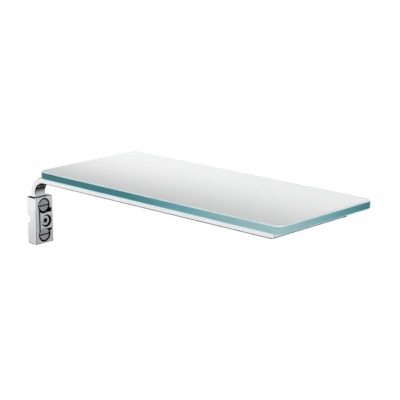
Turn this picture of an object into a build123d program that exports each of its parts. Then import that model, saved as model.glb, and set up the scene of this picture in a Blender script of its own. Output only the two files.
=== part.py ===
from build123d import *
import os

# Glass shelf carried along its length by one bent flat bar on a wall block.
# Millimetres. Origin: centre of the block's wall face. +X out of the wall, +Y across the shelf, +Z up.

# wall block
block_depth = 12.2
block_width = 22.6
block_height = 48.2
block_edge_r = 0.8

# pocket in the block's front face: two round bays joined by a straight slot
fixing_pitch = 30.0
bay_r = 7.7
pocket_floor_x = 4.4
slot_y_min = -6.8
slot_y_max = 9.6
slot_half_height = 11.8
slot_corner_r = 0.8

# half-round notch in the block's near side, open to the wall
notch_r = 4.2
notch_z = 1.2
notch_depth = 3.0

# wall fixings: slotted nuts on M6 studs
stud_hole_r = 3.3
nut_r = 6.0
nut_front_x = 11.9
nut_bore_r = 3.0
nut_bore_depth = 4.0
nut_edge = 0.4
driver_slot_width = 1.5
driver_slot_depth = 1.2
washer_thickness = 0.8

# locking plate between the nuts, set a little low, and its M6 cap screw
plate_y_min = -4.9
plate_y_max = 9.55
plate_z = -1.0
plate_half_height = 9.6
plate_front_x = 12.1
plate_arc_r = 7.3
horn_y_min = 3.0
horn_half_height = 8.3
cap_screw_y = 2.8
cap_screw_z = -1.4
cap_recess_r = 6.5
cap_seat_x = 6.4
cap_head_r = 5.0
cap_head_height = 4.0
cap_head_edge = 0.4
cap_hex_af = 5.0
cap_hex_depth = 2.2
m6_r = 3.0
thread_gap = 0.03
cap_screw_tip_x = 0.6

# bent flat bar
bar_width = 13.5
bar_thickness = 6.2
bar_near_y = -9.2
bar_wall_x = 3.5
bend_outer_r = 19.6
bar_edge_r = 0.8
bar_corner_r = 3.0
bar_inner_corner_r = 1.5
foot_depth = 1.0
foot_gap = 0.05

# glass
glass_length = 310.0
glass_width = 132.0
glass_thickness = 8.0
glass_wall_gap = 22.6
glass_near_y = -15.0
glass_corner_r = 8.0
glass_arris = 1.0
tape_thickness = 0.2
underside_z = 46.8

# return leg and its end cap
bar_end_inset = 13.1
leg_far_y = 95.0
cap_length = 6.0
cap_corner_r = 1.2
spigot_r = 1.7
spigot_length = 7.0
spigot_gap = 0.05

# glass fixings: discs bonded under the glass, each pulled down by a countersunk M4 screw
rail_disc_x = (62.0, 178.0, 288.0)
leg_disc_y = (36.0, 76.0)
disc_r = 4.6
disc_thickness = 2.4
disc_bore_gap = 0.25
disc_floor_gap = 0.2
m4_r = 2.0
m4_hole_r = 2.2
m4_head_r = 3.7
m4_head_gap = 0.05
m4_tip_gap = 0.5
m4_hex_af = 2.5
m4_hex_depth = 1.3
tape_side = 1.0
tape_hole_r = 5.2

bar_far_y = bar_near_y + bar_width
bar_mid_y = bar_near_y + bar_width / 2
bar_top_z = underside_z - tape_thickness
bar_bottom_z = bar_top_z - bar_thickness
bar_end_x = glass_wall_gap + glass_length - bar_end_inset
leg_inner_x = bar_end_x - bar_width
leg_mid_x = bar_end_x - bar_width / 2
leg_end_y = leg_far_y - cap_length
block_top_z = block_height / 2
fixing_zs = (fixing_pitch / 2, -fixing_pitch / 2)
disc_places = [(x, bar_mid_y) for x in rail_disc_x] + [(leg_mid_x, y) for y in leg_disc_y]
reach = 2 * glass_length


def span(x0, x1, y0, y1, z0, z1):
    """Box between two corners."""
    size = (x1 - x0, y1 - y0, z1 - z0)
    return Pos((x0 + x1) / 2, (y0 + y1) / 2, (z0 + z1) / 2) * Box(*size)


def rod_x(r, x0, x1, y, z):
    """Cylinder along X."""
    return Pos((x0 + x1) / 2, y, z) * Rot(0, 90, 0) * Cylinder(r, x1 - x0)


def rod_z(r, z0, z1, x, y):
    """Cylinder along Z."""
    return Pos(x, y, (z0 + z1) / 2) * Cylinder(r, z1 - z0)


def hexagon(across_flats, depth):
    """Hexagonal prism that starts at its plane and rises along it."""
    return extrude(RegularPolygon(across_flats / 2, 6, major_radius=False), depth)


def foot_profile(gap):
    """Footprint of the bar on the block, as a box that reaches into the block's top."""
    return span(
        bar_wall_x - gap,
        bar_wall_x + bar_thickness + gap,
        bar_near_y - gap,
        bar_far_y + gap,
        block_top_z - foot_depth,
        block_top_z + foot_depth,
    )


def wall_block():
    half_w = block_width / 2
    half_h = block_height / 2
    body = span(0, block_depth, -half_w, half_w, -half_h, half_h)
    front = body.faces().sort_by(Axis.X)[-1]
    body = fillet(body.edges().filter_by(Axis.X) + front.edges(), block_edge_r)
    slot = span(pocket_floor_x, block_depth, slot_y_min, slot_y_max, -slot_half_height, slot_half_height)
    body -= fillet(slot.edges().filter_by(Axis.X), slot_corner_r)
    for z in fixing_zs:
        body -= rod_x(bay_r, pocket_floor_x, block_depth, 0, z)
        body -= rod_x(stud_hole_r, 0, pocket_floor_x, 0, z)
    body -= rod_x(m6_r + thread_gap, 0, pocket_floor_x, cap_screw_y, cap_screw_z)
    notch = Pos(0, -half_w + notch_depth / 2, notch_z) * Rot(90, 0, 0) * Cylinder(notch_r, notch_depth)
    return body - notch - foot_profile(foot_gap)


def slotted_nut(z):
    bore_end = pocket_floor_x + washer_thickness + nut_bore_depth
    nut = rod_x(nut_r, pocket_floor_x + washer_thickness, nut_front_x, 0, z)
    nut = chamfer(nut.faces().sort_by(Axis.X)[-1].edges(), nut_edge)
    nut -= rod_x(nut_bore_r, pocket_floor_x + washer_thickness, bore_end, 0, z)
    slot_floor_x = nut_front_x - driver_slot_depth
    half_slot = driver_slot_width / 2
    return nut - span(slot_floor_x, nut_front_x, -nut_r, nut_r, z - half_slot, z + half_slot)


def nut_washer(z):
    washer_front_x = pocket_floor_x + washer_thickness
    washer = rod_x(nut_r, pocket_floor_x, washer_front_x, 0, z)
    return washer - rod_x(stud_hole_r, pocket_floor_x, washer_front_x, 0, z)


def locking_plate():
    top = plate_z + plate_half_height
    bottom = plate_z - plate_half_height
    plate = span(pocket_floor_x, plate_front_x, plate_y_min, plate_y_max, bottom, top)
    for z in fixing_zs:
        plate -= rod_x(plate_arc_r, pocket_floor_x, plate_front_x, 0, plate_z + z)
    horn_top = plate_z + horn_half_height
    horn_bottom = plate_z - horn_half_height
    plate -= span(pocket_floor_x, plate_front_x, horn_y_min, plate_y_max, horn_top, top)
    plate -= span(pocket_floor_x, plate_front_x, horn_y_min, plate_y_max, bottom, horn_bottom)
    plate -= rod_x(cap_recess_r, cap_seat_x, plate_front_x, cap_screw_y, cap_screw_z)
    return plate - rod_x(stud_hole_r, pocket_floor_x, cap_seat_x, cap_screw_y, cap_screw_z)


def cap_screw():
    head_front_x = cap_seat_x + cap_head_height
    head = rod_x(cap_head_r, cap_seat_x, head_front_x, cap_screw_y, cap_screw_z)
    head = chamfer(head.faces().sort_by(Axis.X)[-1].edges(), cap_head_edge)
    shank = rod_x(m6_r, cap_screw_tip_x, cap_seat_x, cap_screw_y, cap_screw_z)
    socket = Pos(head_front_x - cap_hex_depth, cap_screw_y, cap_screw_z) * Rot(0, 90, 0)
    return head + shank - socket * hexagon(cap_hex_af, cap_hex_depth)


def bar_side_profile():
    """Bar seen along Y: foot, bend and the run out to its far end."""
    inner_r = bend_outer_r - bar_thickness
    bend_x = bar_wall_x + bend_outer_r
    bend_z = bar_top_z - bend_outer_r
    foot_z = block_top_z - foot_depth
    front_x = bar_wall_x + bar_thickness
    edges = [
        Line((bar_wall_x, foot_z), (bar_wall_x, bend_z)),
        CenterArc((bend_x, bend_z), bend_outer_r, 180, -90),
        Line((bend_x, bar_top_z), (bar_end_x, bar_top_z)),
        Line((bar_end_x, bar_top_z), (bar_end_x, bar_bottom_z)),
        Line((bar_end_x, bar_bottom_z), (bend_x, bar_bottom_z)),
        CenterArc((bend_x, bend_z), inner_r, 90, 90),
        Line((front_x, bend_z), (front_x, foot_z)),
        Line((front_x, foot_z), (bar_wall_x, foot_z)),
    ]
    return make_face(edges)


def whole_bar():
    """Bar and return leg in one, before the mitre parts them."""
    side = Plane(origin=(0, bar_far_y, 0), x_dir=(1, 0, 0), z_dir=(0, -1, 0))
    leg = span(leg_inner_x, bar_end_x, bar_near_y, leg_end_y, bar_bottom_z, bar_top_z)
    body = extrude(side * bar_side_profile(), bar_width) + leg
    outer = (bar_end_x, bar_near_y, bar_top_z)
    body = fillet(body.edges().filter_by(Axis.Z).sort_by_distance(outer)[0], bar_corner_r)
    inner = (leg_inner_x, bar_far_y, bar_top_z)
    body = fillet(body.edges().filter_by(Axis.Z).sort_by_distance(inner)[0], bar_inner_corner_r)
    flats = body.faces().filter_by(Plane.XY).sort_by(Axis.Z)[-2:]
    body = fillet(flats[0].edges() + flats[1].edges(), bar_edge_r)
    for bore in fixing_bores():
        body -= bore
    return body


def mitre_half():
    """Everything on the long run's side of the 45 degree mitre."""
    corner = (bar_end_x, bar_near_y)
    behind = (corner[0] - reach, corner[1] + reach)
    before = (corner[0] - reach, corner[1] - reach)
    outline = Polyline(corner, behind, before, corner)
    return Pos(0, 0, -reach / 2) * extrude(make_face(outline), reach)


def fixing_bores():
    """Counterbore, clearance hole and countersink at each glass fixing."""
    countersink_r = m4_head_r + m4_head_gap
    countersink_depth = countersink_r - m4_hole_r
    bores = []
    for x, y in disc_places:
        floor_z = underside_z - disc_thickness - disc_floor_gap
        bores.append(rod_z(disc_r + disc_bore_gap, floor_z, bar_top_z, x, y))
        bores.append(rod_z(m4_hole_r, bar_bottom_z, floor_z, x, y))
        cone = Cone(countersink_r, m4_hole_r, countersink_depth)
        bores.append(Pos(x, y, bar_bottom_z + countersink_depth / 2) * cone)
    return bores


def spigot_bore():
    radius = spigot_r + spigot_gap
    bore = Cylinder(radius, spigot_length + spigot_gap)
    middle_y = leg_end_y - (spigot_length + spigot_gap) / 2
    return Pos(leg_mid_x, middle_y, (bar_top_z + bar_bottom_z) / 2) * Rot(90, 0, 0) * bore


def support_bar():
    return whole_bar() & mitre_half()


def return_leg():
    return whole_bar() - mitre_half() - spigot_bore()


def end_cap():
    cap = span(leg_inner_x, bar_end_x, leg_end_y, leg_far_y, bar_bottom_z, bar_top_z)
    far_face = cap.faces().sort_by(Axis.Y)[-1]
    cap = fillet(far_face.edges().filter_by(Axis.Z), cap_corner_r)
    spigot = Pos(leg_mid_x, leg_end_y - spigot_length / 2, (bar_top_z + bar_bottom_z) / 2) * Rot(90, 0, 0)
    return cap + spigot * Cylinder(spigot_r, spigot_length)


def glass_plate():
    far_x = glass_wall_gap + glass_length
    far_y = glass_near_y + glass_width
    top_z = underside_z + glass_thickness
    plate = span(glass_wall_gap, far_x, glass_near_y, far_y, underside_z, top_z)
    plate = fillet(plate.edges().filter_by(Axis.Z), glass_corner_r)
    rims = plate.faces().sort_by(Axis.Z)
    return chamfer(rims[0].edges() + rims[-1].edges(), glass_arris)


def bonded_disc(x, y):
    disc = rod_z(disc_r, underside_z - disc_thickness, underside_z, x, y)
    return disc - rod_z(m4_r + thread_gap, underside_z - disc_thickness, underside_z, x, y)


def countersunk_screw(x, y):
    head_z = bar_bottom_z + m4_head_gap
    head_height = m4_head_r - m4_r
    head = Pos(x, y, head_z + head_height / 2) * Cone(m4_head_r, m4_r, head_height)
    shank = rod_z(m4_r, head_z + head_height, underside_z - m4_tip_gap, x, y)
    return head + shank - Pos(x, y, head_z) * hexagon(m4_hex_af, m4_hex_depth)


def tape_with_holes(strip):
    for x, y in disc_places:
        strip -= rod_z(tape_hole_r, bar_top_z, underside_z, x, y)
    return strip


def rail_tape():
    start_x = glass_wall_gap + glass_corner_r
    y0 = bar_near_y + tape_side
    y1 = bar_far_y - tape_side
    return tape_with_holes(span(start_x, bar_end_x - bar_corner_r, y0, y1, bar_top_z, underside_z))


def leg_tape():
    x0 = leg_inner_x + tape_side
    x1 = bar_end_x - tape_side
    return tape_with_holes(span(x0, x1, bar_far_y, leg_end_y, bar_top_z, underside_z))


nodes = {
    "glass_plate": [glass_plate()],
    "support_bar": [support_bar()],
    "return_leg": [return_leg()],
    "end_cap": [end_cap()],
    "wall_block": [wall_block()],
    "locking_plate": [locking_plate()],
    "cap_screw": [cap_screw()],
    "slotted_nuts": [slotted_nut(z) for z in fixing_zs],
    "nut_washers": [nut_washer(z) for z in fixing_zs],
    "rail_tape": [rail_tape()],
    "leg_tape": [leg_tape()],
    "bonded_discs": [bonded_disc(x, y) for x, y in disc_places],
    "disc_screws": [countersunk_screw(x, y) for x, y in disc_places],
}

os.makedirs("parts", exist_ok=True)
for name, pieces in nodes.items():
    solids = [solid for piece in pieces for solid in piece.solids()]
    shape = solids[0] if len(solids) == 1 else Compound(children=solids)
    export_step(shape, f"parts/{name}.step")
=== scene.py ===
from math import pi

import bmesh
import bpy
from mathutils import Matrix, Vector


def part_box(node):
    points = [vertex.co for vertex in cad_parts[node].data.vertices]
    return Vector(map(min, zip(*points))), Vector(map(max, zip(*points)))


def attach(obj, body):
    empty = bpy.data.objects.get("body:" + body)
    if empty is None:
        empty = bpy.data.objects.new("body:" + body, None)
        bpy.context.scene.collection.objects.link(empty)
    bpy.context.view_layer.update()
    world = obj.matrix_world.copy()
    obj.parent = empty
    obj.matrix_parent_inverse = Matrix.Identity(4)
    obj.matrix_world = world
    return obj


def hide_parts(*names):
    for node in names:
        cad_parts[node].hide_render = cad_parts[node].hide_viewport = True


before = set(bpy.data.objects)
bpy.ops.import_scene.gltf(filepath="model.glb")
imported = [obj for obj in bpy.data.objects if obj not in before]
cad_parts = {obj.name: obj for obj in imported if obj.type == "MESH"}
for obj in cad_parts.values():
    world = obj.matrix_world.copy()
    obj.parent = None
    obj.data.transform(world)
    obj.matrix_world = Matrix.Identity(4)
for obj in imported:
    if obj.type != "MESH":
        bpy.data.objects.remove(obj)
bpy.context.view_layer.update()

mm = 0.001
tiny = 0.01 * mm         # tolerance for finding faces and edges by their place


# helpers that make, select and shape a piece

def startPiece(name, addPrimitive, **settings):
    bpy.ops.object.select_all(action="DESELECT")
    addPrimitive(**settings)
    piece = bpy.context.active_object
    piece.name = name
    piece.data.name = name
    bpy.ops.object.transform_apply(location=True, rotation=True, scale=True)
    return piece


def addBlock(name, low, high):
    low, high = Vector(low), Vector(high)
    return startPiece(
        name, bpy.ops.mesh.primitive_cube_add, size=1, location=(low + high) / 2, scale=high - low
    )


def addRod(name, radius, start, end, sides=96):
    # a cylinder from start to end, which lie along one axis
    start, end = Vector(start), Vector(end)
    along = end - start
    turn = along.to_track_quat("Z", "Y").to_euler()
    return startPiece(
        name,
        bpy.ops.mesh.primitive_cylinder_add,
        vertices=sides,
        radius=radius,
        depth=along.length,
        location=(start + end) / 2,
        rotation=turn,
    )


def editMode():
    bpy.ops.object.mode_set(mode="EDIT")


def objectMode():
    bpy.ops.object.mode_set(mode="OBJECT")


def pick(kind, test):
    # selects what passes the test, in edit mode
    bpy.ops.mesh.select_mode(type=kind)
    bpy.ops.mesh.select_all(action="DESELECT")
    mesh = bmesh.from_edit_mesh(bpy.context.active_object.data)
    parts = {"VERT": mesh.verts, "EDGE": mesh.edges, "FACE": mesh.faces}[kind]
    for part in parts:
        if test(part):
            part.select_set(True)
    mesh.select_flush_mode()
    bmesh.update_edit_mesh(bpy.context.active_object.data)


def runsAlong(edge, axis):
    step = edge.verts[1].co - edge.verts[0].co
    return abs(abs(step[axis]) - step.length) < tiny


def middle(edge):
    return (edge.verts[0].co + edge.verts[1].co) / 2


def activate(piece):
    bpy.ops.object.select_all(action="DESELECT")
    piece.select_set(True)
    bpy.context.view_layer.objects.active = piece


def cutAway(piece, cutter):
    cut = piece.modifiers.new("cut", "BOOLEAN")
    cut.operation = "DIFFERENCE"
    cut.solver = "EXACT"
    cut.object = cutter
    activate(piece)
    bpy.ops.object.modifier_apply(modifier="cut")
    bpy.data.objects.remove(cutter)


def roundEdges(piece, width, segments=3, angle=40, clamp=True):
    # rounds every edge sharper than the angle, in degrees
    edge = piece.modifiers.new("edge", "BEVEL")
    edge.width = width
    edge.segments = segments
    edge.limit_method = "ANGLE"
    edge.angle_limit = angle * pi / 180
    edge.use_clamp_overlap = clamp
    activate(piece)
    bpy.ops.object.modifier_apply(modifier="edge")


def finishPiece(piece, nodes=(), angle=35):
    activate(piece)
    editMode()
    bpy.ops.mesh.select_all(action="SELECT")
    bpy.ops.mesh.remove_doubles(threshold=tiny / 10)
    bpy.ops.mesh.normals_make_consistent(inside=False)
    objectMode()
    bpy.ops.object.shade_smooth_by_angle(angle=angle * pi / 180)
    # wide faces keep flat normals, and only their rounded edges turn
    flat = piece.modifiers.new("flat", "WEIGHTED_NORMAL")
    flat.keep_sharp = True
    bpy.ops.object.modifier_apply(modifier="flat")
    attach(piece, "root")
    if nodes:
        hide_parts(*nodes)


class Wire:
    # one socket of a node tree: sums and products of wires add Math nodes
    def __init__(self, tree, socket):
        self.tree = tree
        self.socket = socket

    def node(self, kind, settings=None, sockets=None, out=0):
        made = self.tree.nodes.new(kind)
        for key, value in (settings or {}).items():
            if key == "stops":
                ramp = made.color_ramp.elements
                while len(ramp) < len(value):
                    ramp.new(0.5)
                for stop, (place, colour) in zip(ramp, value):
                    stop.position = place
                    stop.color = (*colour, 1)
            else:
                setattr(made, key, value)
        for key, value in (sockets or {}).items():
            if isinstance(value, Wire):
                self.tree.links.new(value.socket, made.inputs[key])
            else:
                made.inputs[key].default_value = value
        return Wire(self.tree, made.outputs[out])

    def sum(self, operation, first, second=0.0):
        return self.node("ShaderNodeMath", {"operation": operation}, {0: first, 1: second})

    def __add__(self, other):
        return self.sum("ADD", self, other)

    def __radd__(self, other):
        return self.sum("ADD", other, self)

    def __sub__(self, other):
        return self.sum("SUBTRACT", self, other)

    def __rsub__(self, other):
        return self.sum("SUBTRACT", other, self)

    def __mul__(self, other):
        return self.sum("MULTIPLY", self, other)

    def __rmul__(self, other):
        return self.sum("MULTIPLY", other, self)

    def __truediv__(self, other):
        return self.sum("DIVIDE", self, other)

    def ramp(self, low, high):
        # 0 below low, 1 above high, smooth between
        sockets = {"Value": self, "From Min": low, "From Max": high}
        return self.node("ShaderNodeMapRange", {"interpolation_type": "SMOOTHSTEP"}, sockets)

    def blend(self, first, second):
        # colour mix by this wire
        settings = {"data_type": "RGBA"}
        return self.node("ShaderNodeMix", settings, {0: self, 6: first, 7: second}, out=2)

    def noise(self, place, scale, detail):
        return self.node("ShaderNodeTexNoise", None, {"Vector": place, "Scale": scale, "Detail": detail})


def newFinish(name):
    # a material with its surface shader, its object coordinates and their parts
    finish = bpy.data.materials.new(name)
    finish.use_nodes = True
    tree = finish.node_tree
    shader = tree.nodes["Principled BSDF"]
    start = Wire(tree, shader.outputs[0])
    place = start.node("ShaderNodeTexCoord", out="Object")
    x = place.node("ShaderNodeSeparateXYZ", None, {0: place}, out=0)
    y, z = Wire(tree, x.socket.node.outputs[1]), Wire(tree, x.socket.node.outputs[2])
    return finish, shader, place, (x, y, z)


def feed(shader, name, value):
    if isinstance(value, Wire):
        value.tree.links.new(value.socket, shader.inputs[name])
    else:
        shader.inputs[name].default_value = value


def tintBy(shader, mix, look):
    # base colour goes from tint to deepTint as the wire mix crosses the band
    feed(shader, "Base Color", mix.ramp(*look["band"]).blend(look["tint"], look["deepTint"]))


def relief(shader, height, depth):
    bump = height.node("ShaderNodeBump", None, {"Strength": 1.0, "Distance": depth, "Height": height})
    feed(shader, "Normal", bump)


def polishedChrome():
    look = {
        "tint": (0.81, 0.815, 0.825, 1),
        "deepTint": (0.78, 0.785, 0.80, 1),
        "band": (0.35, 0.65),
        "cloud": (60, 4),
        "rough": 0.04,
        "haze": 0.04,
        "hazeCloud": (240, 5),
        "hazeBand": (0.45, 0.7),
        "ripple": (900, 2),
        "rippleDepth": 0.002 * mm,
    }
    finish, shader, place, _ = newFinish("polishedChrome")
    haze = place.noise(place, *look["hazeCloud"]).ramp(*look["hazeBand"])
    tintBy(shader, place.noise(place, *look["cloud"]), look)
    feed(shader, "Metallic", 1.0)
    feed(shader, "Roughness", look["rough"] + look["haze"] * haze)
    relief(shader, place.noise(place, *look["ripple"]), look["rippleDepth"])
    return finish


def satinMetal():
    look = {
        "tint": (0.90, 0.905, 0.91, 1),
        "deepTint": (0.78, 0.785, 0.79, 1),
        "band": (0.3, 0.7),
        "stretch": (40, 9),
        "grain": (180, 4),
        "rough": 0.14,
        "roughSpread": 0.12,
        "grainDepth": 0.006 * mm,
    }
    finish, shader, place, (x, y, z) = newFinish("satinMetal")
    alongX, alongY = look["stretch"]
    grain = place.node("ShaderNodeCombineXYZ", None, {0: x * alongX, 1: y * alongY, 2: z})
    lines = place.noise(grain, *look["grain"])
    tintBy(shader, lines, look)
    feed(shader, "Metallic", 1.0)
    feed(shader, "Roughness", look["rough"] + look["roughSpread"] * lines)
    relief(shader, lines, look["grainDepth"])
    return finish


def turnedSteel(name, look, centres):
    # rings of a lathe tool about each centre, which are (y, z) pairs
    steel = {"cloud": (400, 4), "cloudShare": 0.8, "ringShare": 0.1, "roughSpread": 0.12, "band": (0.2, 0.7)}
    look = steel | look
    finish, shader, place, (_, y, z) = newFinish(name)
    nearest = None
    for cy, cz in centres:
        dy, dz = y - cy, z - cz
        away = place.sum("SQRT", dy * dy + dz * dz)
        nearest = away if nearest is None else place.sum("MINIMUM", nearest, away)
    rings = place.sum("SINE", nearest * (2 * pi / look["pitch"]))
    cloud = place.noise(place, *look["cloud"])
    tintBy(shader, cloud * look["cloudShare"] + rings * look["ringShare"], look)
    feed(shader, "Metallic", 1.0)
    feed(shader, "Roughness", look["rough"] + look["roughSpread"] * cloud)
    relief(shader, rings, look["depth"])
    return finish


# painted shade: a near-black finish for recesses, slots, sockets and the bar's foot, where shade falls
def paintedPocketShade():
    look = {
        "tint": (0.035, 0.036, 0.038, 1),
        "deepTint": (0.015, 0.015, 0.016, 1),
        "band": (0.3, 0.7),
        "cloud": (700, 4),
        "metal": 0.6,
        "rough": 0.45,
        "roughSpread": 0.2,
        "depth": 0.03 * mm,
    }
    finish, shader, place, _ = newFinish("paintedPocketShade")
    cloud = place.noise(place, *look["cloud"])
    tintBy(shader, cloud, look)
    feed(shader, "Metallic", look["metal"])
    feed(shader, "Roughness", look["rough"] + look["roughSpread"] * cloud)
    relief(shader, cloud, look["depth"])
    return finish


def moulded(name, tint, deepTint, rough, grainDepth):
    look = {
        "tint": tint, "deepTint": deepTint, "band": (0.3, 0.7), "cloud": (120, 3), "grain": (1500, 3),
        "roughSpread": 0.15,
    }
    finish, shader, place, _ = newFinish(name)
    grain = place.noise(place, *look["grain"])
    tintBy(shader, place.noise(place, *look["cloud"]), look)
    feed(shader, "Roughness", rough + look["roughSpread"] * grain)
    relief(shader, grain, grainDepth)
    return finish


def satinGlass():
    # painted shade: the satin face is a little darker in a narrow border along the far edge, standing in for
    # a dimmer reflection there
    look = {
        "tint": (0.60, 0.605, 0.605, 1),
        "deepTint": (0.578, 0.583, 0.585, 1),
        "paintedBorderShade": (0.50, 0.52, 0.52, 1),
        "borderWidth": 7 * mm,
        "band": (0.3, 0.7),
        "cloud": (9, 3),
        "grain": (2600, 2),
        "rough": 0.08,
        "roughSpread": 0.04,
        "grainDepth": 0.004 * mm,
    }
    finish, shader, place, (_, y, _) = newFinish("satinGlass")
    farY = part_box("glass_plate")[1].y
    grain = place.noise(place, *look["grain"])
    cloud = place.noise(place, *look["cloud"]).ramp(*look["band"])
    inner = cloud.blend(look["tint"], look["deepTint"])
    # painted shade along the far edge, blended over the satin colour
    feed(shader, "Base Color", y.ramp(farY - look["borderWidth"], farY).blend(inner, look["paintedBorderShade"]))
    feed(shader, "Roughness", look["rough"] + look["roughSpread"] * grain)
    relief(shader, grain, look["grainDepth"])
    return finish


def polishedEdge():
    # blue-green of thick glass seen through its edge, with painted light palest at the near right corner and
    # painted shade deepening away from it
    look = {
        # stops run from pale painted light at the near right corner to deep painted shade far from it
        "stops": [
            (0.0, (0.40, 0.67, 0.685)),
            (0.14, (0.33, 0.56, 0.59)),
            (0.36, (0.15, 0.43, 0.48)),
            (0.58, (0.037, 0.241, 0.275)),
            (1.0, (0.024, 0.20, 0.225)),
        ],
        "sideShare": 0.65,
        "stretch": 9,
        "streaks": (60, 4),
        "streakMiddle": 0.5,
        "streakDepth": 0.12,
        "rough": 0.08,
        "roughSpread": 0.05,
        "specular": 0.25,
    }
    finish, shader, place, (x, y, z) = newFinish("polishedEdge")
    low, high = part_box("glass_plate")
    # painted light and shade: the colour darkens with distance from the near right corner, along x and
    # partly along y; streaks are real variation
    away = (high.x - x) / (high.x - low.x) + look["sideShare"] * (y - low.y) / (high.y - low.y)
    stretched = place.node("ShaderNodeCombineXYZ", None, {0: x, 1: y, 2: z * look["stretch"]})
    streaks = place.noise(stretched, *look["streaks"])
    paintedShadeAndStreaks = away + (streaks - look["streakMiddle"]) * look["streakDepth"]
    feed(shader, "Base Color", paintedShadeAndStreaks.node("ShaderNodeValToRGB", {"stops": look["stops"]}, {0: paintedShadeAndStreaks}))
    feed(shader, "Roughness", look["rough"] + look["roughSpread"] * streaks)
    feed(shader, "Specular IOR Level", look["specular"])
    return finish


def polishedArris():
    look = {
        "tint": (0.62, 0.80, 0.83, 1), "deepTint": (0.45, 0.68, 0.72, 1), "band": (0.3, 0.75),
        "cloud": (45, 4), "rough": 0.12, "roughSpread": 0.1,
    }
    finish, shader, place, _ = newFinish("polishedArris")
    cloud = place.noise(place, *look["cloud"])
    tintBy(shader, cloud, look)
    feed(shader, "Roughness", look["rough"] + look["roughSpread"] * cloud)
    return finish


chrome = polishedChrome()
satin = satinMetal()
paintedShade = paintedPocketShade()
glassFace = satinGlass()
glassEdge = polishedEdge()
glassArris = polishedArris()
blackCap = moulded("blackCap", (0.012, 0.012, 0.013, 1), (0.02, 0.02, 0.021, 1), 0.3, 0.01 * mm)
nylon = moulded("nylon", (0.80, 0.80, 0.77, 1), (0.72, 0.72, 0.69, 1), 0.45, 0.01 * mm)
clearTape = moulded("clearTape", (0.86, 0.90, 0.90, 1), (0.80, 0.86, 0.86, 1), 0.15, 0.004 * mm)
print("finishes made")


def makeGlass():
    plate = {
        "cornerRadius": 8 * mm, "cornerSteps": 24, "arris": 1.0 * mm, "softEdge": 0.12 * mm,
        "faceTilt": 0.95, "edgeTilt": 0.3,
    }
    low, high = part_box("glass_plate")
    piece = addBlock("satinGlassPlate", low, high)
    editMode()
    pick("EDGE", lambda edge: runsAlong(edge, 2))
    bpy.ops.mesh.bevel(
        offset=plate["cornerRadius"], offset_type="OFFSET", segments=plate["cornerSteps"], affect="EDGES"
    )
    pick("EDGE", lambda edge: abs(edge.verts[0].co.z - edge.verts[1].co.z) < tiny)
    bpy.ops.mesh.bevel(offset=plate["arris"], offset_type="OFFSET", segments=1, affect="EDGES")
    objectMode()
    roundEdges(piece, plate["softEdge"], segments=2, angle=30)
    for finish in (glassFace, glassEdge, glassArris):
        piece.data.materials.append(finish)
    for face in piece.data.polygons:
        tilt = abs(face.normal.z)
        face.material_index = 0 if tilt > plate["faceTilt"] else 1 if tilt < plate["edgeTilt"] else 2
    finishPiece(piece, ["glass_plate"], angle=30)


makeGlass()
print("glass plate made")


# the bar is bent up from its foot, and its return leg turns off at the far end
bar = {
    "width": 13.5 * mm,
    "thickness": 6.2 * mm,
    "bendRadius": 19.6 * mm,
    "bendSteps": 24,
    "cornerRadius": 3 * mm,
    "cornerSteps": 12,
    "innerRadius": 1.5 * mm,
    "innerSteps": 8,
    "softEdge": 1.0 * mm,
    "headRadius": 3.75 * mm,
    "holeRadius": 2.2 * mm,
    "discRadius": 4.85 * mm,
    "discDepth": 2.4 * mm,
    "discReach": 2.2,
    "over": 0.5 * mm,
}


def makeBar():
    low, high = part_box("support_bar")
    legLow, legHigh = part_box("return_leg")
    bend = Vector((low.x + bar["bendRadius"], low.y, high.z - bar["bendRadius"]))
    farY = low.y + bar["width"]
    legX = legHigh.x - bar["width"]
    foot = (low.x + bar["thickness"] / 2, low.y + bar["width"] / 2, low.z)
    piece = startPiece("bentBar", bpy.ops.mesh.primitive_plane_add, size=1, location=foot)
    editMode()
    bpy.ops.mesh.select_all(action="SELECT")
    bpy.ops.transform.resize(value=(bar["thickness"], bar["width"], 1), center_override=foot)
    bpy.ops.mesh.extrude_region_move(TRANSFORM_OT_translate={"value": (0, 0, bend.z - low.z)})
    bpy.ops.mesh.spin(steps=bar["bendSteps"], angle=pi / 2, center=bend, axis=(0, -1, 0))
    bpy.ops.mesh.extrude_region_move(TRANSFORM_OT_translate={"value": (legX - bend.x, 0, 0)})
    bpy.ops.mesh.extrude_region_move(TRANSFORM_OT_translate={"value": (bar["width"], 0, 0)})
    pick("FACE", lambda face: face.normal.y > 0.9 and face.calc_center_median().x > legX + tiny)
    bpy.ops.mesh.extrude_region_move(TRANSFORM_OT_translate={"value": (0, legHigh.y - farY, 0)})
    bpy.ops.mesh.select_all(action="SELECT")
    bpy.ops.mesh.remove_doubles(threshold=tiny)
    bpy.ops.mesh.normals_make_consistent(inside=False)
    corner = Vector((legHigh.x, low.y, 0))
    pick("EDGE", lambda edge: runsAlong(edge, 2) and (middle(edge) - corner).xy.length < tiny)
    bpy.ops.mesh.bevel(offset=bar["cornerRadius"], segments=bar["cornerSteps"], affect="EDGES")
    inside = Vector((legX, farY, 0))
    pick("EDGE", lambda edge: runsAlong(edge, 2) and (middle(edge) - inside).xy.length < tiny)
    bpy.ops.mesh.bevel(offset=bar["innerRadius"], segments=bar["innerSteps"], affect="EDGES")
    objectMode()
    roundEdges(piece, bar["softEdge"], segments=4, clamp=False)
    piece.data.materials.append(chrome)
    return piece


def discPlaces(discs):
    # the middle of each disc: points within a disc's reach of one another are one disc's
    piles = []
    for point in discs.vertices:
        spot = point.co.xy
        for pile in piles:
            if (spot - pile[0]).length < bar["discReach"] * bar["discRadius"]:
                pile.append(spot)
                break
        else:
            piles.append([spot])
    places = []
    for pile in piles:
        xs, ys = [spot.x for spot in pile], [spot.y for spot in pile]
        places.append(((min(xs) + max(xs)) / 2, (min(ys) + max(ys)) / 2))
    return places


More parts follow.
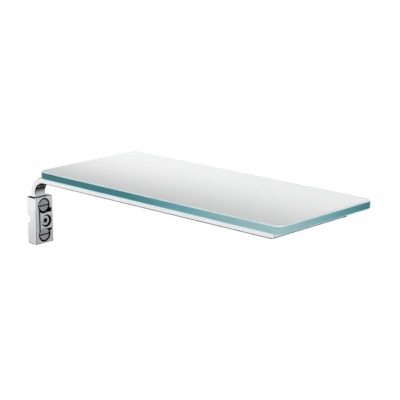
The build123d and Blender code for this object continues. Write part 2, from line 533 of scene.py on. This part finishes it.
def sinkScrews(piece):
    # a countersink and clearance hole below each bonded disc, and the disc's recess in the top
    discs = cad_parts["bonded_discs"].data
    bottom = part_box("return_leg")[0].z
    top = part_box("support_bar")[1].z
    depth = bar["headRadius"] - bar["holeRadius"]
    for x, y in discPlaces(discs):
        cone = startPiece(
            "coneCutter",
            bpy.ops.mesh.primitive_cone_add,
            vertices=64,
            radius1=bar["headRadius"] + bar["over"],
            radius2=bar["holeRadius"],
            depth=depth + bar["over"],
            location=(x, y, bottom + (depth - bar["over"]) / 2),
        )
        cutAway(piece, cone)
        cutAway(piece, addRod("holeCutter", bar["holeRadius"], (x, y, bottom), (x, y, top), 48))
        recess = ((x, y, top - bar["discDepth"]), (x, y, top + bar["over"]))
        cutAway(piece, addRod("discCutter", bar["discRadius"], *recess, 64))


bentBar = makeBar()
sinkScrews(bentBar)
finishPiece(bentBar, ["support_bar", "return_leg"])
print("bar made")


block = {
    "softEdge": 0.8 * mm,
    "pitch": 30.0 * mm,
    "bayRadius": 7.7 * mm,
    "pocketFloor": 4.4 * mm,
    "slotNear": -6.8 * mm,
    "slotFar": 9.6 * mm,
    "slotHalfHeight": 11.8 * mm,
    "studHole": 3.3 * mm,
    "notchRadius": 4.2 * mm,
    "notchHeight": 1.2 * mm,
    "notchDepth": 3.0 * mm,
    "rimShare": 0.01,
    "cutEdge": 0.3 * mm,
    "notchEdge": 0.7 * mm,
    "over": 2 * mm,
}
fixingHeights = (block["pitch"] / 2, -block["pitch"] / 2)


def onNotchMouth(edge, low):
    spot = middle(edge)
    away = Vector((spot.x - low.x, spot.z - block["notchHeight"])).length
    onRim = abs(away - block["notchRadius"]) < block["rimShare"] * block["notchRadius"]
    return onRim and abs(spot.y - low.y) < tiny


def makeBlock():
    low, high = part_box("wall_block")
    piece = addBlock("wallBlock", low, high)
    editMode()
    pick("EDGE", lambda edge: middle(edge).x > low.x + tiny)
    bpy.ops.mesh.bevel(offset=block["softEdge"], segments=5, affect="EDGES")
    objectMode()
    front = high.x + block["over"]
    back = low.x - block["over"]
    notchMouth = (low.x, low.y - block["over"], block["notchHeight"])
    notchFloor = (low.x, low.y + block["notchDepth"], block["notchHeight"])
    cutAway(piece, addRod("notchCutter", block["notchRadius"], notchMouth, notchFloor))
    activate(piece)
    editMode()
    pick("EDGE", lambda edge: onNotchMouth(edge, low))
    bpy.ops.mesh.bevel(offset=block["notchEdge"], segments=4, affect="EDGES")
    objectMode()
    slot = addBlock(
        "slotCutter",
        (block["pocketFloor"], block["slotNear"], -block["slotHalfHeight"]),
        (front, block["slotFar"], block["slotHalfHeight"]),
    )
    cutAway(piece, slot)
    for height in fixingHeights:
        bay = ((block["pocketFloor"], 0, height), (front, 0, height))
        cutAway(piece, addRod("bayCutter", block["bayRadius"], *bay))
        cutAway(piece, addRod("studCutter", block["studHole"], (back, 0, height), (front, 0, height), 48))
    roundEdges(piece, block["cutEdge"], segments=3)
    piece.data.materials.append(chrome)
    piece.data.materials.append(paintedShade)
    # faces inside the slot and bays get painted shade
    for face in piece.data.polygons:
        spot = face.center
        inSide = block["slotNear"] - tiny < spot.y < block["slotFar"] + tiny
        inHeight = abs(spot.z) < block["pitch"] / 2 + block["bayRadius"] + tiny
        deep = low.x + tiny < spot.x < high.x - tiny
        if inSide and inHeight and deep:
            face.material_index = 1
    finishPiece(piece, ["wall_block"])


makeBlock()


def makePaintedShadeFillet():
    # a fillet around the bar's foot, with a slight crown, coloured with painted shade: a dark rim for the
    # shadow at the joint
    fillet = {"reach": 0.55 * mm, "height": 0.5 * mm, "insetShare": 0.9, "crownShare": 0.2}
    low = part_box("support_bar")[0]
    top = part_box("wall_block")[1].z
    spread = Vector((fillet["reach"], fillet["reach"], 0))
    start = Vector((low.x, low.y, top)) - spread
    end = Vector((low.x + bar["thickness"], low.y + bar["width"], top + fillet["height"])) + spread
    piece = addBlock("paintedShadeFillet", start, end)
    editMode()
    pick("EDGE", lambda edge: runsAlong(edge, 2))
    bpy.ops.mesh.bevel(offset=fillet["reach"], segments=4, affect="EDGES")
    pick("FACE", lambda face: face.normal.z > 0.9)
    bpy.ops.mesh.inset(thickness=fillet["reach"] * fillet["insetShare"])
    bpy.ops.transform.translate(value=(0, 0, fillet["height"] * fillet["crownShare"]))
    objectMode()
    piece.data.materials.append(paintedShade)
    finishPiece(piece)


makePaintedShadeFillet()
print("wall block made")


def makeLockingPlate():
    plate = {
        "arc": 7.3 * mm,
        "hornNear": 3.0 * mm,
        "hornHalfHeight": 8.3 * mm,
        "recess": 6.5 * mm,
        "seat": 6.4 * mm,
        "hole": 3.3 * mm,
        "softEdge": 0.25 * mm,
    }
    low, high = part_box("locking_plate")
    screwLow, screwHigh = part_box("cap_screw")
    middleHeight = (low.z + high.z) / 2
    y, z = (screwLow.y + screwHigh.y) / 2, (screwLow.z + screwHigh.z) / 2
    piece = addBlock("lockingPlate", low, high)
    front, back = high.x + block["over"], low.x - block["over"]
    for height in fixingHeights:
        arcHeight = middleHeight + height
        cutAway(piece, addRod("arcCutter", plate["arc"], (back, 0, arcHeight), (front, 0, arcHeight)))
    for side in (1, -1):
        inner = middleHeight + side * plate["hornHalfHeight"]
        outer = inner + side * plate["arc"]
        start = (back, plate["hornNear"], min(inner, outer))
        end = (front, high.y + block["over"], max(inner, outer))
        cutAway(piece, addBlock("hornCutter", start, end))
    cutAway(piece, addRod("recessCutter", plate["recess"], (plate["seat"], y, z), (front, y, z)))
    cutAway(piece, addRod("holeCutter", plate["hole"], (back, y, z), (front, y, z), 48))
    roundEdges(piece, plate["softEdge"], segments=2)
    piece.data.materials.append(satin)
    piece.data.materials.append(paintedShade)
    # faces inside the screw recess get painted shade
    for face in piece.data.polygons:
        spot = face.center - Vector((0, y, z))
        inRecess = Vector((spot.y, spot.z)).length < plate["recess"] + tiny
        if inRecess and spot.x < high.x - plate["softEdge"]:
            face.material_index = 1
    finishPiece(piece, ["locking_plate"])


def makeCapScrew():
    screw = {
        "head": 4.0 * mm, "shank": 3.0 * mm, "acrossFlats": 5.0 * mm, "hexDepth": 2.2 * mm, "rim": 0.4 * mm,
        "softEdge": 0.12 * mm, "socketShare": 0.99, "lip": 0.3 * mm,
    }
    low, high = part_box("cap_screw")
    y, z = (low.y + high.y) / 2, (low.z + high.z) / 2
    radius = (high.y - low.y) / 2
    piece = addRod("capScrew", radius, (high.x - screw["head"], y, z), (high.x, y, z), 72)
    editMode()
    pick("EDGE", lambda edge: middle(edge).x > high.x - tiny)
    bpy.ops.mesh.bevel(offset=screw["rim"], segments=4, affect="EDGES")
    pick("FACE", lambda face: face.normal.x < -0.9)
    bpy.ops.mesh.inset(thickness=radius - screw["shank"])
    length = low.x - high.x + screw["head"]
    bpy.ops.mesh.extrude_region_move(TRANSFORM_OT_translate={"value": (length, 0, 0)})
    objectMode()
    corner = screw["acrossFlats"] / 3 ** 0.5
    socketFloor, socketMouth = high.x - screw["hexDepth"], high.x + block["over"]
    cutAway(piece, addRod("hexCutter", corner, (socketFloor, y, z), (socketMouth, y, z), 6))
    roundEdges(piece, screw["softEdge"], segments=2, angle=50)
    look = {
        "tint": (0.84, 0.85, 0.86, 1), "deepTint": (0.68, 0.69, 0.70, 1), "rough": 0.16,
        "pitch": 0.5 * mm, "depth": 0.006 * mm,
    }
    piece.data.materials.append(turnedSteel("turnedScrew", look, [(y, z)]))
    piece.data.materials.append(paintedShade)
    # faces inside the hex socket get painted shade
    for face in piece.data.polygons:
        spot = Vector((face.center.y - y, face.center.z - z))
        if spot.length < corner * screw["socketShare"] and face.center.x < high.x - screw["lip"]:
            face.material_index = 1
    finishPiece(piece, ["cap_screw"])


def makeNuts():
    nut = {
        "slotWidth": 1.5 * mm, "slotDepth": 1.2 * mm, "rim": 0.4 * mm, "softEdge": 0.1 * mm, "lip": 0.4 * mm,
        "bore": 3.0 * mm, "boreDepth": 4.0 * mm,
    }
    look = {
        "tint": (0.56, 0.565, 0.57, 1), "deepTint": (0.40, 0.405, 0.41, 1), "rough": 0.25,
        "pitch": 0.45 * mm, "depth": 0.008 * mm,
    }
    low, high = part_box("slotted_nuts")
    radius = (high.y - low.y) / 2
    steel = turnedSteel("turnedNut", look, [(0, height) for height in fixingHeights])
    made = []
    for height in fixingHeights:
        piece = addRod("slottedNut", radius, (low.x, 0, height), (high.x, 0, height), 96)
        editMode()
        pick("EDGE", lambda edge: middle(edge).x > high.x - tiny)
        bpy.ops.mesh.bevel(offset=nut["rim"], segments=4, affect="EDGES")
        objectMode()
        slot = addBlock(
            "slotCutter",
            (high.x - nut["slotDepth"], low.y - block["over"], height - nut["slotWidth"] / 2),
            (high.x + block["over"], high.y + block["over"], height + nut["slotWidth"] / 2),
        )
        cutAway(piece, slot)
        boreMouth, boreFloor = low.x - block["over"], low.x + nut["boreDepth"]
        cutAway(piece, addRod("boreCutter", nut["bore"], (boreMouth, 0, height), (boreFloor, 0, height), 48))
        roundEdges(piece, nut["softEdge"], segments=2, angle=50)
        piece.data.materials.append(steel)
        piece.data.materials.append(paintedShade)
        # faces inside each slot get painted shade
        for face in piece.data.polygons:
            inSlot = abs(face.center.z - height) < nut["slotWidth"] / 2 - tiny
            if inSlot and face.center.x < high.x - nut["lip"]:
                face.material_index = 1
        made.append(piece)
    upper, lower = made
    activate(lower)
    upper.select_set(True)
    bpy.context.view_layer.objects.active = upper
    bpy.ops.object.join()
    finishPiece(upper, ["slotted_nuts"])


makeLockingPlate()
makeCapScrew()
makeNuts()
print("fixings made")


def makeEndCap():
    cap = {"corner": 1.2 * mm, "softEdge": 0.5 * mm}
    low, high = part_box("end_cap")
    start = Vector((low.x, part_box("return_leg")[1].y, low.z))
    piece = addBlock("endCap", start, high)
    editMode()
    pick("EDGE", lambda edge: runsAlong(edge, 2) and middle(edge).y > high.y - tiny)
    bpy.ops.mesh.bevel(offset=cap["corner"], segments=8, affect="EDGES")
    objectMode()
    roundEdges(piece, cap["softEdge"], segments=3)
    piece.data.materials.append(blackCap)
    finishPiece(piece, ["end_cap"])


makeEndCap()


# small pieces keep their CAD meshes and only get finishes
def dress(node, finish):
    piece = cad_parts[node]
    piece.data.materials.clear()
    piece.data.materials.append(finish)


discSteel = moulded("discSteel", (0.72, 0.73, 0.74, 1), (0.60, 0.61, 0.62, 1), 0.2, 0.004 * mm)
discSteel.node_tree.nodes["Principled BSDF"].inputs["Metallic"].default_value = 1.0
dress("disc_screws", discSteel)
dress("bonded_discs", discSteel)
dress("nut_washers", nylon)
dress("rail_tape", clearTape)
dress("leg_tape", clearTape)
print("small pieces dressed")


studio = {
    "floorHeight": -2.0,
    "floorSize": 160,
    "floorShade": (0.90, 0.90, 0.90, 1),
    "floorRough": 0.8,
    "skyLow": 1.05,
    "skyHigh": 0.01,
    "skyFrom": 0.13,
    "skyTo": 0.34,
    "sunPower": 3.3,
    "sunSpread": 50,
}


def makeFloor():
    bpy.ops.object.select_all(action="DESELECT")
    bpy.ops.mesh.primitive_plane_add(size=studio["floorSize"], location=(0, 0, studio["floorHeight"]))
    floor = bpy.context.active_object
    floor.name = "floor"
    finish, shader, _, _ = newFinish("paleFloor")
    feed(shader, "Base Color", studio["floorShade"])
    feed(shader, "Roughness", studio["floorRough"])
    feed(shader, "Specular IOR Level", 0.0)
    floor.data.materials.append(finish)


def makeSky():
    # bright near the horizon, darker overhead
    sky = bpy.data.worlds.new("softSky")
    sky.use_nodes = True
    glow = sky.node_tree.nodes["Background"]
    up = Wire(sky.node_tree, glow.outputs[0]).node("ShaderNodeTexCoord", out="Generated")
    height = up.node("ShaderNodeSeparateXYZ", None, {0: up}, out=2)
    change = studio["skyHigh"] - studio["skyLow"]
    shade = studio["skyLow"] + change * height.ramp(studio["skyFrom"], studio["skyTo"])
    sky.node_tree.links.new(shade.socket, glow.inputs["Strength"])
    glow.inputs["Color"].default_value = (1, 1, 1, 1)
    bpy.context.scene.world = sky


def makeSun():
    lamp = bpy.data.lights.new("overhead", "SUN")
    lamp.energy = studio["sunPower"]
    lamp.angle = studio["sunSpread"] * pi / 180
    sun = bpy.data.objects.new("overhead", lamp)
    bpy.context.scene.collection.objects.link(sun)


# cards that only polished faces mirror: shades run along the height, and fade dims them across the width
plainCard = {"turn": (0, 0, 0), "rise": (-0.5, 0.5), "across": (-0.5, 0.5), "fade": 0.0}
cards = {
    "backCard": {
        "place": (-0.6, 1.0, 0.40), "size": (3.6, 0.5), "turn": (pi / 2, 0, 0),
        "shades": (1.55, 0.0), "rise": (-0.094, 0.045), "across": (-0.15, 0.1), "fade": 0.17,
    },
    "barCard": {"place": (0.15, -0.12, -0.12), "size": (0.7, 0.4), "shades": (0.0, 0.0)},
    "legCard": {"place": (0.325, 0.17, -0.03), "size": (0.23, 0.26), "shades": (0.0, 0.0)},
    "bendCard": {
        "place": (-0.315, 0.38, -0.12), "size": (1.2, 0.6),
        "shades": (0.5, 0.5), "across": (0.5, 0.28), "fade": 1.0,
    },
    "rightCard": {
        "place": (0.62, 0.55, -0.16), "size": (1.2, 0.5), "turn": (pi / 2, 0, -pi / 4),
        "shades": (0.45, 0.95), "rise": (-0.3, 0.3),
    },
    "leftCard": {
        "place": (-0.8, -0.58, -0.3), "size": (0.36, 0.16), "turn": (pi / 2, 0, pi / 2),
        "shades": (0.75, 1.04), "rise": (-0.1, 0.35),
    },
}


def addCard(name, look):
    bpy.ops.object.select_all(action="DESELECT")
    bpy.ops.mesh.primitive_plane_add(size=1, location=look["place"], rotation=look["turn"])
    card = bpy.context.active_object
    card.name = name
    card.scale = (*look["size"], 1)
    finish = bpy.data.materials.new(name)
    finish.use_nodes = True
    tree = finish.node_tree
    tree.nodes.remove(tree.nodes["Principled BSDF"])
    glow = tree.nodes.new("ShaderNodeEmission")
    place = Wire(tree, glow.outputs[0]).node("ShaderNodeTexCoord", out="Object")
    x = place.node("ShaderNodeSeparateXYZ", None, {0: place}, out=0)
    y = Wire(tree, x.socket.node.outputs[1])
    low, high = look["shades"]
    shade = low + (high - low) * y.ramp(*look["rise"])
    shade = shade * (1 - look["fade"] * x.ramp(*look["across"]))
    tree.links.new(shade.socket, glow.inputs["Strength"])
    tree.links.new(glow.outputs[0], tree.nodes["Material Output"].inputs[0])
    card.data.materials.append(finish)
    card.visible_camera = False
    card.visible_diffuse = False
    card.visible_shadow = False
    card.visible_transmission = False


def makeCamera():
    shot = {
        "place": (1.0271, -0.8485, 0.3479),
        "back": (0.66548, -0.70617, 0.24178),
        "lens": 121.47,
        "sensor": 36,
        "reach": 100,
    }
    camera = bpy.data.cameras.new("camera")
    camera.lens = shot["lens"]
    camera.sensor_width = shot["sensor"]
    camera.clip_end = shot["reach"]
    stand = bpy.data.objects.new("camera", camera)
    stand.location = shot["place"]
    stand.rotation_euler = Vector(shot["back"]).to_track_quat("Z", "Y").to_euler()
    bpy.context.scene.collection.objects.link(stand)
    bpy.context.scene.camera = stand


makeFloor()
makeSky()
makeSun()
for name, look in cards.items():
    addCard(name, plainCard | look)
makeCamera()
bpy.context.scene.view_settings.view_transform = "Standard"
print("studio made")
